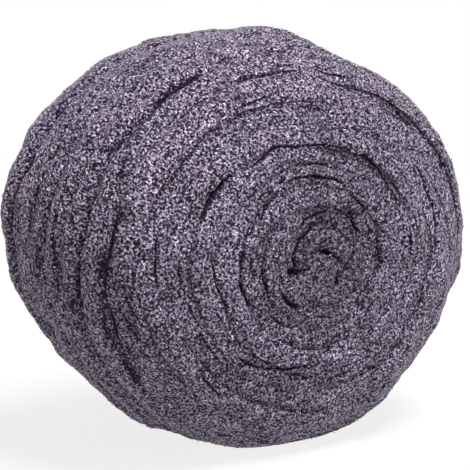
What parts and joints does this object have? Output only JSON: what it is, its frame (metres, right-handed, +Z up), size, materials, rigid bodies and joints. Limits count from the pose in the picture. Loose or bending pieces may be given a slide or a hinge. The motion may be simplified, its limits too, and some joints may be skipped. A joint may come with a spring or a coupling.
{
  "type": "steel wool roll",
  "caption": "Soft roll of steel wool: one long matted strip wound into a drum, with a spiral on both faces and a small flat it rests on.",
  "frame": {"origin": "centre of the roll's box in X and Y, on the flat spot it rests on", "axes": "+Z up; Y along the roll's winding axis, with the better spiral face towards -Y"},
  "size_m": [0.187, 0.1062, 0.1673],
  "materials": {
    "steel_wool": "dull grey steel fibre with a faint violet cast"
  },
  "bodies": {
    "root": {"wool_roll": "steel_wool"}
  },
  "joints": []
}
